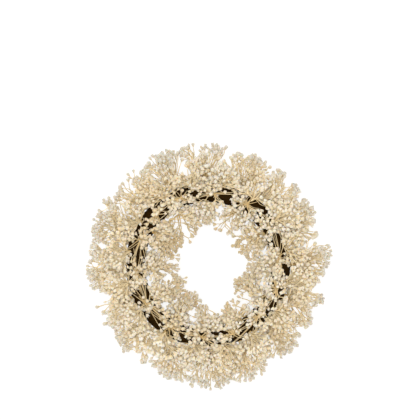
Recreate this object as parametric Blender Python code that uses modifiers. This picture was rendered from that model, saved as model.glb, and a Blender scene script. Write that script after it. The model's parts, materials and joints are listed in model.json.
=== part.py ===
"""A wreath of dried baby's breath, lying face up on its flat back.

The bunches stand in holes round a dark base ring. A point of the wreath is given by three numbers:
the turn round +Z, the lean round the ring's tube (0 outwards, 90 up, 180 inwards) and the distance
from the tube's centre line. Each bunch keeps to a cell of its own in these three numbers.

A bunch grows from its foot by raising faces of a rough head: upper faces become twigs that split
into three buds, and other faces become single buds.
"""

import itertools
import math
import random
from dataclasses import dataclass

import bmesh
import bpy
from mathutils import Vector
from mathutils.bvhtree import BVHTree

# The base ring: a round tube with a flat back, 250 mm across.
RING_OUTER_RADIUS = 0.125
TUBE_RADIUS = 0.015
RING_RADIUS = RING_OUTER_RADIUS - TUBE_RADIUS
CENTRE_HEIGHT = 0.013
RING_STEPS = 32
ARC_POINTS = 6

# A bunch's foot, the tied stems that stand in a hole of the ring.
HOLE_RINGS = 3
FOOT_RADIUS = 0.0025
FOOT_DEPTH = 0.007
FOOT_SIDES = 5
NECK_HEIGHT = 0.003
FIT_GAP = 0.0003

# A bunch's head, as shares of the way from the cell's middle to its walls.
# A squareness of 2 would round the bunch off, and a higher one fills the corners of its cell.
HEAD_RINGS = 4
NECK_RING = 2
MIDDLE_HEIGHT = 0.42
SQUARENESS = 4
HEAD_SHARE = 0.27
HEAD_LEVEL = math.radians(-8)

# A twig, which ends in a knot of packed buds where it splits.
TWIG_SHARE = 0.46
TWIG_LEVEL = math.radians(39)
TWIG_RADIUS = 0.0031
TWIG_DOME = 0.0025
TWIG_SPLIT = math.radians(27)

# A bud on its stalk.
BUD_RADIUS = 0.0037
BUD_LENGTH = 0.0080
BUD_MOST = 0.75
BUD_WIDEST = 0.40
STALK_RADIUS = 0.0009
LOW_BUD_LEVEL = math.radians(-16)

# How the buds of a bunch keep apart.
BUD_SPACING = 0.0090
SPACING_ROUNDS = 40
LOWEST_UP = -0.45
DIRECTION_JITTER = math.radians(6)
MOST_DRAWS = 40
ORDER_DIGITS = 5

EDGE_UNEVENNESS = 0.11
SEED = 17

FLOWER_COLOUR = (0.67, 0.56, 0.39, 1.0)
RING_COLOUR = (0.021, 0.012, 0.006, 1.0)


@dataclass(frozen=True)
class Row:
    """One row of bunches: leans in degrees, and distances in metres from the tube's centre line."""

    name: str
    start: float
    lean: tuple
    twigs: int
    low_buds: int
    base: float
    reach: tuple


# Reaches go anticlockwise from +X, one for each bunch.
ROWS = (
    Row(
        name="outer_low_bunch",
        start=0.0,
        lean=(-11, 29),
        twigs=5,
        low_buds=2,
        base=0.030,
        reach=(0.073, 0.064, 0.070, 0.070, 0.071, 0.073, 0.069, 0.073,
               0.071, 0.067, 0.071, 0.068, 0.071, 0.071, 0.065, 0.067),
    ),
    Row(
        name="outer_high_bunch",
        start=0.5,
        lean=(31, 68),
        twigs=5,
        low_buds=1,
        base=0.026,
        reach=(0.058, 0.064, 0.060, 0.062, 0.065, 0.059, 0.063, 0.061,
               0.065, 0.060, 0.063, 0.058, 0.062, 0.064, 0.059, 0.063),
    ),
    Row(
        name="front_bunch",
        start=0.25,
        lean=(70, 119),
        twigs=3,
        low_buds=1,
        base=0.020,
        reach=(0.048, 0.045, 0.049, 0.046, 0.050, 0.045, 0.048,
               0.047, 0.044, 0.049, 0.046, 0.050, 0.045, 0.047),
    ),
    Row(
        name="inner_bunch",
        start=0.0,
        lean=(121, 186),
        twigs=5,
        low_buds=0,
        base=0.024,
        reach=(0.050, 0.057, 0.053, 0.048, 0.058, 0.059,
               0.063, 0.067, 0.064, 0.049, 0.046, 0.062),
    ),
)


@dataclass(frozen=True)
class Cell:
    """The space that one bunch keeps to: its turns, its leans and its reach, in radians and metres."""

    name: str
    turns: tuple
    leans: tuple
    base: float
    reach: float

    def middle(self):
        """The turn and the lean of the bunch's foot."""
        return sum(self.turns) / 2, sum(self.leans) / 2

    def foot_point(self, along, angle, radius):
        """A place round the foot's axis; along is counted outwards from the ring's surface."""
        turn, lean = self.middle()
        axis = Vector((math.cos(lean) * math.cos(turn), math.cos(lean) * math.sin(turn), math.sin(lean)))
        side = Vector((-math.sin(turn), math.cos(turn), 0.0))
        rise = axis.cross(side)
        around = side * math.cos(angle) + rise * math.sin(angle)
        return tube_point(turn, lean, TUBE_RADIUS) + axis * along + around * radius

    def point(self, side, rise, height, room=0.0):
        """The place at shares of the cell: side and rise from -1 to 1 between walls drawn in by room."""
        turn, lean = self.middle()
        distance = self.base + height * (self.reach - self.base)
        half_turn = (self.turns[1] - self.turns[0]) / 2
        half_lean = (self.leans[1] - self.leans[0]) / 2
        lean += rise * (half_lean - room / distance)
        out = RING_RADIUS + distance * math.cos(lean)
        turn += side * (half_turn - room / out)
        return tube_point(turn, lean, distance)

    def spread(self, direction, share, room=0.0):
        """The place at a share of the way from the cell's middle to its walls along (side, rise, up)."""
        outline = sum(abs(part) ** SQUARENESS for part in direction) ** (1 / SQUARENESS)
        side, rise, up = direction * (share / outline)
        height = MIDDLE_HEIGHT + up * (1 - MIDDLE_HEIGHT if up > 0 else MIDDLE_HEIGHT)
        return self.point(side, rise, height, room)

    def bud_tip(self, direction):
        """Where a bud in this direction ends, just clear of the neighbours' cells."""
        return self.spread(direction, 1.0, BUD_RADIUS + FIT_GAP)


def tube_point(turn, lean, distance):
    """A point of the wreath from its turn, its lean and its distance from the tube's centre line."""
    out = RING_RADIUS + distance * math.cos(lean)
    return Vector((out * math.cos(turn), out * math.sin(turn), CENTRE_HEIGHT + distance * math.sin(lean)))


def dome(angle, level):
    """The unit direction (side, rise, up) at an angle round a bunch and a level above its waist."""
    return Vector((math.cos(angle) * math.cos(level), math.sin(angle) * math.cos(level), math.sin(level)))


def clear_scene():
    """Removes what the file starts with."""
    for obj in list(bpy.data.objects):
        bpy.data.objects.remove(obj)


def new_collection(name):
    """An empty collection in the scene."""
    collection = bpy.data.collections.new(name)
    bpy.context.scene.collection.children.link(collection)
    return collection


def new_material(name, colour, roughness):
    """A plain Principled material."""
    material = bpy.data.materials.new(name)
    material.use_nodes = True
    shader = material.node_tree.nodes["Principled BSDF"]
    shader.inputs["Base Color"].default_value = colour
    shader.inputs["Roughness"].default_value = roughness
    shader.inputs["Metallic"].default_value = 0.0
    return material


def new_object(name, bm, collection):
    """An object of the finished shape, in the collection."""
    mesh = bpy.data.meshes.new(name)
    bm.to_mesh(mesh)
    bm.free()
    obj = bpy.data.objects.new(name, mesh)
    collection.objects.link(obj)
    return obj


def sphere_ring(vert, rings):
    """The ring of a primitive sphere that a point is on, from 0 at its bottom to rings at its top."""
    return rings - round(math.acos(max(-1.0, min(1.0, vert.co.z))) / math.pi * rings)


def raise_face(bm, face, centre, axis, first, radius):
    """Extrudes a three-cornered face to a ring round the centre, with a corner towards first."""
    start = face.calc_center_median()
    raised = bmesh.ops.extrude_discrete_faces(bm, faces=[face])["faces"][0]
    corners = [loop.vert for loop in raised.loops]
    nearest = max(range(3), key=lambda index: (corners[index].co - start).dot(first))
    first = (first - axis * first.dot(axis)).normalized()
    second = axis.cross(first)
    for index in range(3):
        angle = 2 * math.pi * index / 3
        corner = corners[(nearest + index) % 3]
        corner.co = centre + (first * math.cos(angle) + second * math.sin(angle)) * radius
    return raised


def split_face(bm, face, point):
    """Splits a face into three that meet at the point, and returns them."""
    split = bmesh.ops.poke(bm, faces=[face])
    split["verts"][0].co = point
    return split["faces"]


def grow_bud(bm, face, tip):
    """Raises a face into a stalk that ends in a bud."""
    start = face.calc_center_median()
    axis = (tip - start).normalized()
    size = min(BUD_LENGTH, BUD_MOST * (tip - start).length)
    first = face.loops[0].vert.co - start
    neck = raise_face(bm, face, tip - axis * size, axis, first, STALK_RADIUS)
    widest = raise_face(bm, neck, tip - axis * BUD_WIDEST * size, axis, first, BUD_RADIUS)
    split_face(bm, widest, tip)


def grow_twig(bm, face, cell, direction, tips):
    """Raises a face into a twig that splits into one bud for each of the three tips."""
    end = cell.spread(direction, TWIG_SHARE)
    axis = (end - face.calc_center_median()).normalized()
    away_from_first_tip = end - tips[0]
    knot = raise_face(bm, face, end, axis, away_from_first_tip, TWIG_RADIUS)
    for part in sorted(split_face(bm, knot, end + axis * TWIG_DOME), key=place_in_order):
        towards = part.calc_center_median() - end
        grow_bud(bm, part, max(tips, key=lambda tip: towards.dot((tip - end).normalized())))


def split_directions(direction):
    """Three directions round a twig's own: one up towards the bunch's top and two to its sides."""
    up = Vector((0, 0, 1))
    upwards = (up - direction * up.dot(direction)).normalized()
    across = direction.cross(upwards)
    parts = []
    for index in range(3):
        angle = 2 * math.pi * index / 3
        away = upwards * math.cos(angle) + across * math.sin(angle)
        parts.append(direction * math.cos(TWIG_SPLIT) + away * math.sin(TWIG_SPLIT))
    return parts


def keep_apart(cell, directions):
    """Turns the directions until their bud tips stand at least the bud spacing apart."""
    for _ in range(SPACING_ROUNDS):
        for one, other in itertools.combinations(directions, 2):
            gap = (cell.bud_tip(one) - cell.bud_tip(other)).length
            if gap >= BUD_SPACING:
                continue
            push = (one - other) * ((BUD_SPACING - gap) / gap / 2)
            one += push
            other -= push
            for direction in (one, other):
                direction.z = max(direction.z, LOWEST_UP)
                direction.normalize()


def place_in_order(face):
    """The face's middle, rounded, by which faces are taken in the same order each time."""
    return tuple(round(part, ORDER_DIGITS) for part in face.calc_center_median())


def head_faces(bm, draw):
    """The upper and the lower faces of the rough head, each with the direction that it grows in."""
    upper = []
    lower = []
    for face in sorted(bm.faces, key=place_in_order):
        rings = sorted(sphere_ring(vert, HEAD_RINGS) for vert in face.verts)
        middle = face.calc_center_median()
        angle = math.atan2(middle.y, middle.x) + draw.uniform(-DIRECTION_JITTER, DIRECTION_JITTER)
        lift = draw.uniform(-DIRECTION_JITTER, DIRECTION_JITTER)
        if rings[-1] == HEAD_RINGS:
            upper.append((face, dome(angle, TWIG_LEVEL + lift)))
        elif rings == [NECK_RING, NECK_RING + 1, NECK_RING + 1]:
            lower.append((face, dome(angle, LOW_BUD_LEVEL + lift)))
    return upper, lower


def place_head(bm, cell):
    """Moves the rough sphere's points to the bunch's foot, neck and head."""
    for vert in bm.verts:
        ring = sphere_ring(vert, HEAD_RINGS)
        angle = math.atan2(vert.co.y, vert.co.x)
        if ring > NECK_RING:
            level = HEAD_LEVEL if ring < HEAD_RINGS else math.pi / 2
            vert.co = cell.spread(dome(angle, level), HEAD_SHARE)
        else:
            along = NECK_HEIGHT if ring == NECK_RING else -FOOT_DEPTH
            vert.co = cell.foot_point(along, angle, FOOT_RADIUS if ring else 0.0)


def grow_bunch(cell, row, draw):
    """The bunch as one closed shape: a foot, a neck and a head with twigs and single buds."""
    bm = bmesh.new()
    bmesh.ops.create_uvsphere(bm, u_segments=FOOT_SIDES, v_segments=HEAD_RINGS, radius=1.0)
    bmesh.ops.triangulate(bm, faces=bm.faces, quad_method="FIXED")
    upper, lower = head_faces(bm, draw)
    place_head(bm, cell)
    draw.shuffle(upper)
    twigs = []
    directions = []
    for face, direction in upper[:row.twigs]:
        parts = split_directions(direction)
        twigs.append((face, direction, parts))
        directions.extend(parts)
    singles = upper[row.twigs:] + draw.sample(lower, row.low_buds)
    directions.extend(direction for _, direction in singles)
    keep_apart(cell, directions)
    for face, direction, parts in twigs:
        grow_twig(bm, face, cell, direction, [cell.bud_tip(part) for part in parts])
    for face, direction in singles:
        grow_bud(bm, face, cell.bud_tip(direction))
    return bm


def crosses_itself(bm):
    """Whether two faces of the shape cross without sharing a corner."""
    solid = bm.copy()
    bmesh.ops.triangulate(solid, faces=solid.faces)
    solid.faces.index_update()
    solid.faces.ensure_lookup_table()
    corners = [set(face.verts) for face in solid.faces]
    tree = BVHTree.FromBMesh(solid)
    crossed = any(corners[one].isdisjoint(corners[other]) for one, other in tree.overlap(tree))
    solid.free()
    return crossed


def clean_bunch(cell, row, draw):
    """Draws the bunch again until none of its stalks and buds cross."""
    for _ in range(MOST_DRAWS):
        bm = grow_bunch(cell, row, draw)
        if not crosses_itself(bm):
            return bm
        bm.free()
    raise ValueError(f"{cell.name} crosses itself in each of {MOST_DRAWS} draws")


def cut_hole(cell, cutters):
    """The cutter for the hole that the bunch's foot stands in, a fit gap larger all round."""
    radius = FOOT_RADIUS + FIT_GAP / math.cos(math.pi / FOOT_SIDES)
    bm = bmesh.new()
    bmesh.ops.create_uvsphere(bm, u_segments=FOOT_SIDES, v_segments=HOLE_RINGS, radius=1.0)
    for vert in bm.verts:
        ring = sphere_ring(vert, HOLE_RINGS)
        angle = math.atan2(vert.co.y, vert.co.x)
        along = NECK_HEIGHT if ring > 1 else -FOOT_DEPTH - FIT_GAP
        vert.co = cell.foot_point(along, angle, radius if ring in (1, 2) else 0.0)
    hole = new_object("hole", bm, cutters)
    hole.hide_render = True
    hole.display_type = "WIRE"


def cells_of(row, draw):
    """The cells of a row: their walls stand at uneven turns round the ring."""
    count = len(row.reach)
    pitch = 2 * math.pi / count
    walls = []
    for index in range(count):
        shift = draw.uniform(-EDGE_UNEVENNESS, EDGE_UNEVENNESS)
        walls.append((row.start + index - 0.5 + shift) * pitch)
    walls.append(walls[0] + 2 * math.pi)
    leans = tuple(math.radians(lean) for lean in row.lean)
    cells = []
    for index, reach in enumerate(row.reach):
        name = f"{row.name}_{index + 1:02d}"
        cells.append(Cell(name, (walls[index], walls[index + 1]), leans, row.base, reach))
    return cells


def make_ring(cells, wreath, material):
    """The base ring, a turned tube with a flat back, with a hole for each bunch's foot."""
    half_flat = math.sqrt(TUBE_RADIUS**2 - CENTRE_HEIGHT**2)
    start = math.atan2(-CENTRE_HEIGHT, half_flat)
    sweep = math.pi - 2 * start
    bm = bmesh.new()
    profile = []
    for index in range(ARC_POINTS + 1):
        lean = start + sweep * (1 - index / ARC_POINTS)
        profile.append(bm.verts.new(tube_point(0.0, lean, TUBE_RADIUS)))
    for index, vert in enumerate(profile):
        bm.edges.new((vert, profile[(index + 1) % len(profile)]))
    ring = new_object("base_ring", bm, wreath)
    turned = ring.modifiers.new("turned", "SCREW")
    turned.axis = "Z"
    turned.steps = RING_STEPS
    turned.render_steps = RING_STEPS
    turned.use_merge_vertices = True
    turned.merge_threshold = 0.00005
    holes = new_collection("foot_holes")
    for cell in cells:
        cut_hole(cell, holes)
    cut = ring.modifiers.new("holes", "BOOLEAN")
    cut.operation = "DIFFERENCE"
    cut.solver = "EXACT"
    cut.operand_type = "COLLECTION"
    cut.collection = holes
    ring.data.materials.append(material)


def main():
    """Builds the wreath."""
    clear_scene()
    draw = random.Random(SEED)
    wreath = new_collection("babys_breath_wreath")
    flower = new_material("dried_flower", FLOWER_COLOUR, 0.85)
    wrap = new_material("ring_wrap", RING_COLOUR, 0.7)
    cells = [(cell, row) for row in ROWS for cell in cells_of(row, draw)]
    for cell, row in cells:
        bunch = new_object(cell.name, clean_bunch(cell, row, draw), wreath)
        bunch.data.materials.append(flower)
    make_ring([cell for cell, _ in cells], wreath, wrap)


main()
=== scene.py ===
"""The looks of a wreath of dried baby's breath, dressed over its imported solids.

The wreath lies face up on its flat back, with the ring's middle at the origin and +Y up in the photograph.
A place is also given by its turn round +Z, its lean round the ring's tube (0 outwards, 90 up, 180 inwards)
and its distance from the tube's centre line, because each spray fills a cell of its own in these three.
"""

from __future__ import annotations

import json
import logging
import math
import random
from collections import defaultdict
from dataclasses import dataclass, field, replace
from enum import Enum

import bmesh
import bpy
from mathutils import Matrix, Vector

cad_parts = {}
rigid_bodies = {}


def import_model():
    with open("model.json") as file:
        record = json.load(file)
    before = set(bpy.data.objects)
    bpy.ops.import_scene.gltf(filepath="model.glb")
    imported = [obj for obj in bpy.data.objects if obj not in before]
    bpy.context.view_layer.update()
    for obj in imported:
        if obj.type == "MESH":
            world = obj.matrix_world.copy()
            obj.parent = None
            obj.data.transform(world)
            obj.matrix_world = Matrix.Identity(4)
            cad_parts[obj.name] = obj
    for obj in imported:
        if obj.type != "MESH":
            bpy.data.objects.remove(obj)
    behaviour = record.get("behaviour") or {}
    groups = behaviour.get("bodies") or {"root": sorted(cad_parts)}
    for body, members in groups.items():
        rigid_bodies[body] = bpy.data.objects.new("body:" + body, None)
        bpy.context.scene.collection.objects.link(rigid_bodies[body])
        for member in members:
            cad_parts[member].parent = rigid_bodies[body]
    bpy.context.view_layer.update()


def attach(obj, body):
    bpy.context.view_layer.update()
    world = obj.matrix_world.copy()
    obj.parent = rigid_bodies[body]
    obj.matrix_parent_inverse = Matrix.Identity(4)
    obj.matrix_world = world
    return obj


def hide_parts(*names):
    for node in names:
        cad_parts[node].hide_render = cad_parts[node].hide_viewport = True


LOG = logging.getLogger("wreath")

# The base ring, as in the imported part.
RING_RADIUS = 0.110
TUBE_RADIUS = 0.015
CENTRE_HEIGHT = 0.013

# A bud of usual size, and the share of its length from its tip to its middle.
BUD_LENGTH = 0.0080
TIP_TO_MIDDLE = 0.35

# The photograph, in pixels, and its scale at the height of the flowers.
PHOTO_SIZE = 420
WREATH_MIDDLE = (208.0, 265.6)
METRES_PER_PIXEL = 0.0015


class BudKind(Enum):
    """The stages that dried buds are found in."""

    ROUND = 0
    SLIM = 1
    OPEN = 2
    TORN = 3


@dataclass(frozen=True)
class Habit:
    """How the sprays of one row grow.

    Args:
        heads: Heads of buds in a spray.
        stalks: Stalks in a head, each with two or three buds.
        singles: Buds on long stalks of their own between the heads.
        lowest: The lowest share of the cell's height that a head's top may have.
        fork: Distance from a head's fork to its buds' tips, in metres.
        cone: Half angle in degrees that a head opens to.
        droop: Share of a head's slope that is left once its stem has bent outwards.
        stray: How far single buds spread, as a share of the cell's half width.
    """

    heads: int
    stalks: int
    singles: int
    lowest: float
    fork: float
    cone: float
    droop: float
    stray: float


@dataclass(frozen=True)
class Row:
    """One row of sprays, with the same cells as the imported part.

    Args:
        name: Name that the row's nodes share.
        start: Place of the first cell, in shares of the pitch.
        lean: Lowest and highest lean, in degrees.
        base: Distance from the tube's centre line where a spray starts to fork.
        reach: Distance from the tube's centre line that each spray reaches, anticlockwise from +X.
        habit: How the sprays grow.
        bare: Numbers of the sprays whose heads all stand far out, so that their stems show as a fan.
    """

    name: str
    start: float
    lean: tuple[float, float]
    base: float
    reach: tuple[float, ...]
    habit: Habit
    bare: tuple[int, ...] = ()


ROWS = (
    Row(
        name="outer_low_bunch",
        start=0.0,
        lean=(-11, 29),
        base=0.030,
        reach=(0.074, 0.068, 0.073, 0.071, 0.073, 0.074, 0.072, 0.073,
               0.071, 0.070, 0.072, 0.070, 0.074, 0.074, 0.070, 0.070),
        habit=Habit(heads=15, stalks=4, singles=36, lowest=-0.28, fork=0.025, cone=44, droop=0.6, stray=1.1),
    ),
    Row(
        name="outer_high_bunch",
        start=0.5,
        lean=(31, 68),
        base=0.026,
        reach=(0.058, 0.064, 0.060, 0.062, 0.065, 0.059, 0.063, 0.061,
               0.065, 0.060, 0.063, 0.058, 0.062, 0.064, 0.059, 0.063),
        habit=Habit(heads=10, stalks=4, singles=46, lowest=-0.22, fork=0.024, cone=46, droop=0.25, stray=1.1),
        bare=(2, 3, 6, 7, 8, 9, 16),
    ),
    Row(
        name="front_bunch",
        start=0.25,
        lean=(70, 119),
        base=0.020,
        reach=(0.048, 0.045, 0.049, 0.046, 0.050, 0.045, 0.048,
               0.047, 0.044, 0.049, 0.046, 0.050, 0.045, 0.047),
        habit=Habit(heads=7, stalks=3, singles=24, lowest=-0.05, fork=0.013, cone=62, droop=0.7, stray=1.7),
    ),
    Row(
        name="inner_bunch",
        start=0.0,
        lean=(121, 186),
        base=0.024,
        reach=(0.050, 0.057, 0.053, 0.048, 0.058, 0.059,
               0.063, 0.067, 0.064, 0.049, 0.046, 0.062),
        habit=Habit(heads=13, stalks=4, singles=28, lowest=-0.22, fork=0.020, cone=50, droop=0.4, stray=1.1),
    ),
)

# How uneven the cells' walls and the clearings' edges are, as shares of their pitch and their radius.
EDGE_UNEVENNESS = 0.11
SPOT_UNEVENNESS = 0.28

# The habit of a spray whose stems show as a fan, where it differs from its row's.
BARE_SINGLES = 16
BARE_LOWEST = 0.20

# The dark patches reach this much further than the photograph's, because stalks cross them.
DARK_WIDENING = 1.22

CELL_SEED = 17
GROWTH_SEED = 5


def tube_point(turn: float, lean: float, distance: float) -> Vector:
    """A place of the wreath.

    Args:
        turn: Angle round +Z in radians.
        lean: Angle round the ring's tube in radians.
        distance: Metres from the tube's centre line.

    Returns:
        The place in metres.
    """
    out = RING_RADIUS + distance * math.cos(lean)
    return Vector((out * math.cos(turn), out * math.sin(turn), CENTRE_HEIGHT + distance * math.sin(lean)))


@dataclass(frozen=True)
class Cell:
    """The space that one spray keeps to.

    Args:
        name: Name of the node that the spray stands for.
        turns: First and last turn in radians.
        leans: Lowest and highest lean in radians.
        base: Where the spray starts to fork, in metres from the tube's centre line.
        reach: How far it reaches from there, in metres from the tube's centre line.
        habit: How the spray grows.
    """

    name: str
    turns: tuple[float, float]
    leans: tuple[float, float]
    base: float
    reach: float
    habit: Habit

    @property
    def turn(self) -> float:
        """The turn of the spray's foot."""
        return sum(self.turns) / 2

    @property
    def lean(self) -> float:
        """The lean of the spray's foot."""
        return sum(self.leans) / 2

    @property
    def axis(self) -> Vector:
        """The direction that the foot's stems leave the ring in."""
        flat = math.cos(self.lean)
        return Vector((flat * math.cos(self.turn), flat * math.sin(self.turn), math.sin(self.lean)))

    def point(self, side: float, rise: float, height: float, room: float) -> Vector:
        """A place from shares of the cell.

        Args:
            side: Share from -1 to 1 between the walls across.
            rise: Share from -1 to 1 between the lower and the upper wall.
            height: Share from 0 at the base to 1 at the reach.
            room: Metres that the walls are drawn in by.

        Returns:
            The place in metres.
        """
        distance = self.base + height * (self.reach - self.base)
        half_turn = (self.turns[1] - self.turns[0]) / 2
        half_lean = (self.leans[1] - self.leans[0]) / 2
        lean = self.lean + rise * (half_lean - room / distance)
        out = RING_RADIUS + distance * math.cos(lean)
        return tube_point(self.turn + side * (half_turn - room / out), lean, distance)

    def overrun(self, place: Vector) -> tuple[float, float]:
        """How far a place lies outside the cell's walls and beyond its reach, in metres, below 0 inside."""
        out = math.hypot(place.x, place.y)
        lean = math.atan2(place.z - CENTRE_HEIGHT, out - RING_RADIUS)
        if lean < -math.pi / 2:
            lean += 2 * math.pi
        distance = math.hypot(place.z - CENTRE_HEIGHT, out - RING_RADIUS)
        turned = (math.atan2(place.y, place.x) - self.turn + math.pi) % (2 * math.pi) - math.pi
        across = (abs(turned) - (self.turns[1] - self.turns[0]) / 2) * out
        upwards = (abs(lean - self.lean) - (self.leans[1] - self.leans[0]) / 2) * distance
        return max(across, upwards), distance - self.reach


def cells_of(row: Row, draw: random.Random) -> list[Cell]:
    """The cells of a row.

    Args:
        row: The row.
        draw: Source of the uneven turns of their walls.

    Returns:
        The cells, anticlockwise.
    """
    count = len(row.reach)
    pitch = 2 * math.pi / count
    walls = []
    for index in range(count):
        shift = draw.uniform(-EDGE_UNEVENNESS, EDGE_UNEVENNESS)
        walls.append((row.start + index - 0.5 + shift) * pitch)
    walls.append(walls[0] + 2 * math.pi)
    leans = (math.radians(row.lean[0]), math.radians(row.lean[1]))
    cells = []
    for index, reach in enumerate(row.reach):
        turns = (walls[index], walls[index + 1])
        habit = row.habit
        if index + 1 in row.bare:
            habit = replace(habit, singles=BARE_SINGLES, lowest=BARE_LOWEST)
        cells.append(Cell(f"{row.name}_{index + 1:02d}", turns, leans, row.base, reach, habit))
    return cells


@dataclass
class Crowd:
    """Places so far of one kind, by which new ones keep their distance.

    Args:
        gap: The least distance between two places, in metres.
    """

    gap: float
    boxes: dict[tuple[int, ...], list[Vector]] = field(default_factory=lambda: defaultdict(list))

    def _box(self, place: Vector) -> tuple[int, ...]:
        """The box of the grid that a place is in."""
        return tuple(math.floor(part / self.gap) for part in place)

    def add(self, place: Vector) -> None:
        """Notes a place."""
        self.boxes[self._box(place)].append(place)

    def nearest(self, place: Vector) -> float:
        """The distance to the nearest place noted, or the gap where none is nearer."""
        x, y, z = self._box(place)
        found = self.gap
        for i in (x - 1, x, x + 1):
            for j in (y - 1, y, y + 1):
                for k in (z - 1, z, z + 1):
                    for other in self.boxes.get((i, j, k), ()):
                        found = min(found, (other - place).length)
        return found


@dataclass(frozen=True)
class Clearing:
    """An uneven spot in plan that most buds keep clear of, where the photograph shows ring or floor.

    Args:
        x: Millimetres right of the ring's middle.
        y: Millimetres up from it.
        radius: Millimetres on average.
        below: Millimetres over the back, under which buds may still grow, behind bare stems.
        ring_only: Whether it keeps free only what lies right over the ring.
    """

    x: float
    y: float
    radius: float
    below: float = 0.0
    ring_only: bool = False

    def covers(self, place: Vector, room: float) -> bool:
        """Whether a bud with this much room round it would show in the clearing."""
        if place.z < self.below / 1000:
            return False
        if self.ring_only and abs(math.hypot(place.x, place.y) - RING_RADIUS) > TUBE_RADIUS + room / 2:
            return False
        right = place.x - self.x / 1000
        up = place.y - self.y / 1000
        uneven = 1 + SPOT_UNEVENNESS * math.sin(3 * math.atan2(up, right) + self.x)
        return math.hypot(right, up) < self.radius / 1000 * uneven + room


DARK_PATCHES = tuple(Clearing(x, y, DARK_WIDENING * radius, ring_only=True) for x, y, radius in (
    (-35, 116, 5.0), (-44, 106, 7.0), (-9, 99, 6.0), (9, 100, 4.5), (-65, 77, 6.0), (-101, 68, 4.5),
    (-88, 78, 4.0), (-86, 60, 3.0), (-86, 51, 3.0), (-115, 26, 7.0), (-107, 27, 5.0), (-100, 15, 8.0),
    (-98, -40, 7.5), (-106, -50, 6.5), (-94, -50, 7.0), (-79, -71, 6.5), (-97, -73, 4.5), (-81, -87, 8.0),
    (-69, -101, 5.5), (-59, -103, 6.0), (-54, -96, 4.0), (-38, -102, 4.5), (-34, -117, 4.0),
    (-7, -103, 4.5), (3, -115, 4.0), (27, 108, 6.5), (30, 97, 4.5), (19, 106, 4.0), (69, 98, 8.0),
    (60, 95, 5.5), (82, 90, 4.5), (102, 42, 5.5), (105, 32, 4.0), (101, -38, 4.5), (96, -56, 5.5),
    (88, -64, 4.0), (101, -24, 3.0), (107, -46, 3.5), (77, -79, 4.5), (55, -79, 5.0), (54, -95, 5.0),
    (43, -104, 9.0), (24, -100, 3.5), (31, -116, 4.0), (12, -104, 4.0), (-104, 40, 4.0), (-92, 84, 4.0),
    (-100, -12, 4.0), (119, 21, 3.0), (118, -7, 3.0), (86, 50, 3.0), (76, 62, 3.0), (84, 78, 3.0),
    (58, 86, 3.0), (45, 92, 3.0), (-3, 104, 3.0), (-20, 106, 3.0), (107, 18, 3.0),
))

WHITE_GAPS = tuple(Clearing(x, y, radius) for x, y, radius in (
    (-43, 144, 6.5), (-44, 153, 4.5), (-29, 140, 5.0), (-61, 122, 5.0), (-122, 119, 6.0), (-130, 81, 7.5),
    (-110, 93, 4.5), (-161, 28, 4.5), (-131, 34, 4.0), (-4, 137, 4.0), (7, 158, 6.5), (-26, 168, 6.0),
    (-172, 1, 5.5), (-163, -49, 9.5), (-151, -50, 4.5), (-168, -53, 6.0), (-162, -66, 4.0),
    (-164, -80, 4.0), (-107, -86, 4.0), (-117, -114, 5.5), (-92, -110, 4.0), (-36, -164, 3.0),
    (-34, -177, 3.5), (-19, -181, 4.0), (7, -177, 5.5), (27, 167, 6.0), (36, 175, 5.0), (33, 153, 5.0),
    (57, 170, 5.5), (71, 114, 4.5), (106, 127, 5.5), (122, 130, 7.0), (120, 119, 4.0), (118, 110, 4.0),
    (139, 107, 4.5), (138, 98, 3.0), (155, 31, 6.0), (169, 38, 6.0), (167, 60, 6.0), (168, 74, 6.0),
    (122, -51, 3.5), (130, -62, 4.0), (138, -70, 4.0), (146, -78, 4.0), (161, -75, 4.0), (135, -96, 6.0),
    (138, -113, 4.0), (156, -41, 6.5), (167, -34, 6.0), (165, -2, 4.0), (164, -66, 4.0), (182, -8, 4.0),
    (178, -22, 6.0), (96, -152, 7.5), (104, -144, 6.0), (-19, 175, 5.5), (-156, 86, 6.0),
    (-140, 117, 5.0), (-158, -80, 4.5), (-153, -63, 4.5), (158, 53, 5.0), (-126, 100, 5.0),
    (-180, 11, 3.5), (-84, 158, 3.5), (-115, -133, 7.0), (-106, -137, 4.0), (-31, 51, 8.0),
    (-43, 57, 7.0), (-36, 63, 6.5), (-46, 67, 6.5), (-38, 73, 5.0), (-53, 65, 5.0), (-51, 72, 3.5),
    (-26, 56, 4.0), (35, 75, 6.0), (17, 83, 4.5), (25, 60, 7.5), (18, 62, 5.0), (48, -65, 6.0),
    (8, -66, 7.0), (18, -65, 7.0), (49, -46, 8.0), (57, -50, 5.5), (38, -57, 5.0), (52, -55, 5.0),
    (47, 44, 6.0), (58, 45, 3.5), (52, 32, 4.5), (-61, 9, 4.5), (-70, -9, 3.5), (-60, -17, 5.5),
    (-54, -30, 4.5), (-25, -72, 4.5), (63, 20, 4.5), (170, 45, 4.0),
))

# Fans of bare stems, with buds only deep behind them.
BARE_FANS = (
    Clearing(-125, 30, 7.5, below=32), Clearing(-115, 71, 7.5, below=32), Clearing(-67, 121, 6.5, below=32),
    Clearing(-76, 134, 6.0, below=38), Clearing(-56, 68, 7.0, below=34), Clearing(-34, 92, 6.0, below=38),
    Clearing(122, -39, 5.5, below=32), Clearing(128, -56, 6.5, below=36), Clearing(38, -133, 6.0, below=36),
    Clearing(-119, -20, 6.0, below=32), Clearing(87, 106, 6.5, below=36), Clearing(132, 12, 5.5, below=34),
    Clearing(-60, -126, 6.0, below=36), Clearing(92, -98, 6.0, below=36), Clearing(52, 128, 6.0, below=38),
    Clearing(-134, 26, 5.0, below=36),
)

CLEARINGS = DARK_PATCHES + WHITE_GAPS + BARE_FANS


@dataclass(frozen=True)
class Twig:
    """A loose twig of one bunch, which the photograph shows clear of the rest.

    Args:
        places: Millimetres right of the ring's middle, up in the photograph and over the back, from the first
            bend to the fork.
        tips: Where its buds' tips are, in the same way.
    """

    places: tuple[tuple[float, float, float], ...]
    tips: tuple[tuple[float, float, float], ...]


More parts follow.
